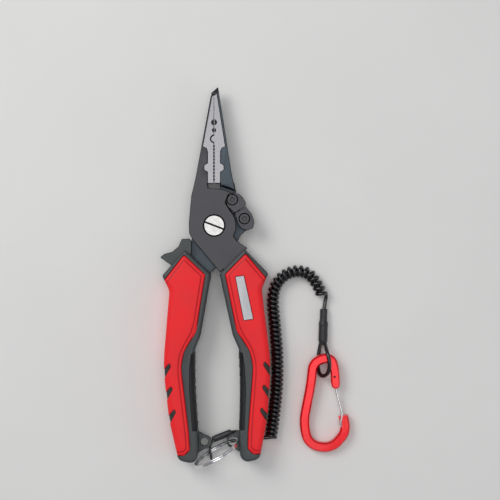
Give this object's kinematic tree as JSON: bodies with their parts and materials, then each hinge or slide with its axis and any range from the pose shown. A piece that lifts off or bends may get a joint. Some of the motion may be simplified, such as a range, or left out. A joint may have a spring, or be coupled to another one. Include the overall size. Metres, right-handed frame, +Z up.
{
  "type": "fishing pliers",
  "caption": "Long-nose fishing pliers with side cutters, lock lever and soft grips, on a coiled cord lanyard with a wire-gate carabiner.",
  "frame": {"origin": "on the floor, under the middle of the pliers' bounding box, measured without the lanyard", "axes": "+Y from the handles to the jaw tips, +Z up from the floor through the pliers' thickness, +X towards the side cutters"},
  "size_m": [0.0964, 0.1925, 0.0266],
  "materials": {
    "head_steel": "matt dark coating",
    "rear_steel": "matt dark coating, bluish",
    "insert_steel": "fine ground",
    "bright_steel": "bright turned",
    "spring_steel": "drawn wire",
    "cutter_steel": "dark blackened",
    "screw_steel": "blackened",
    "core_plastic": "fine moulded texture",
    "grip_red": "soft satin",
    "inlay_rubber": "matt",
    "pad_rubber": "ridged matt",
    "badge_metal": "satin",
    "cord_black": "glossy",
    "sleeve_black": "heat-shrunk satin",
    "ferrule_metal": "plain",
    "anodised_red": "glossy anodised",
    "wire_steel": "polished"
  },
  "bodies": {
    "front_half": {"front_jaw_arm": "head_steel", "front_jaw_insert": "insert_steel", "pivot_screw": "bright_steel", "pivot_nut": "bright_steel", "cutter_block_upper": "cutter_steel", "cutter_screw_upper": "screw_steel", "coil_cord": "cord_black", "cord_tail_upper": "cord_black", "cord_tail_lower": "cord_black", "clip_loop": "cord_black", "ring_loop": "cord_black", "clip_sleeve": "sleeve_black", "ring_sleeve": "sleeve_black", "carabiner_body": "anodised_red", "gate_pin": "bright_steel", "clip_ferrule": "ferrule_metal", "ring_ferrule": "ferrule_metal", "right_handle_core": "core_plastic", "right_grip_jacket": "grip_red", "right_grip_inlays": "inlay_rubber", "right_inner_pad": "pad_rubber", "right_badge": "badge_metal", "right_tang_rivets": "bright_steel"},
    "rear_half": {"rear_jaw_arm": "rear_steel", "rear_jaw_insert": "insert_steel", "return_spring": "spring_steel", "cutter_block_lower": "cutter_steel", "cutter_screw_lower": "screw_steel", "left_handle_core": "core_plastic", "left_grip_jacket": "grip_red", "left_grip_inlays": "inlay_rubber", "left_inner_pad": "pad_rubber", "left_tang_rivets": "bright_steel", "lock_pin": "bright_steel", "lock_spring": "spring_steel"},
    "lock_lever": {"lock_lever": "core_plastic"},
    "split_ring": {"split_ring": "wire_steel"},
    "carabiner_gate": {"carabiner_gate": "wire_steel"}
  },
  "joints": [
    {"name": "jaw_pivot", "type": "hinge", "parent": "front_half", "child": "rear_half", "pos_m": [-0.00065, 0.026, 0.0075], "axis": [0, 0, -1], "range_deg": [0, 24]},
    {"name": "lock_lever_turn", "type": "hinge", "parent": "rear_half", "child": "lock_lever", "pos_m": [-0.01655, 0.0055, 0.0075], "axis": [0, 0, 1], "range_deg": [0, 20], "stiffness_Nm_per_rad": 0.02},
    {"name": "split_ring_turn", "type": "hinge", "parent": "front_half", "child": "split_ring", "pos_m": [0.00059, -0.08926, 0.0141], "axis": [0.4919, -0.8647, -0.1018], "continuous": true},
    {"name": "carabiner_gate_swing", "type": "hinge", "parent": "front_half", "child": "carabiner_gate", "pos_m": [0.06065, -0.05099, 0.00453], "axis": [0, 0.0558, -0.9984], "range_deg": [0, 25], "stiffness_Nm_per_rad": 0.01}
  ]
}
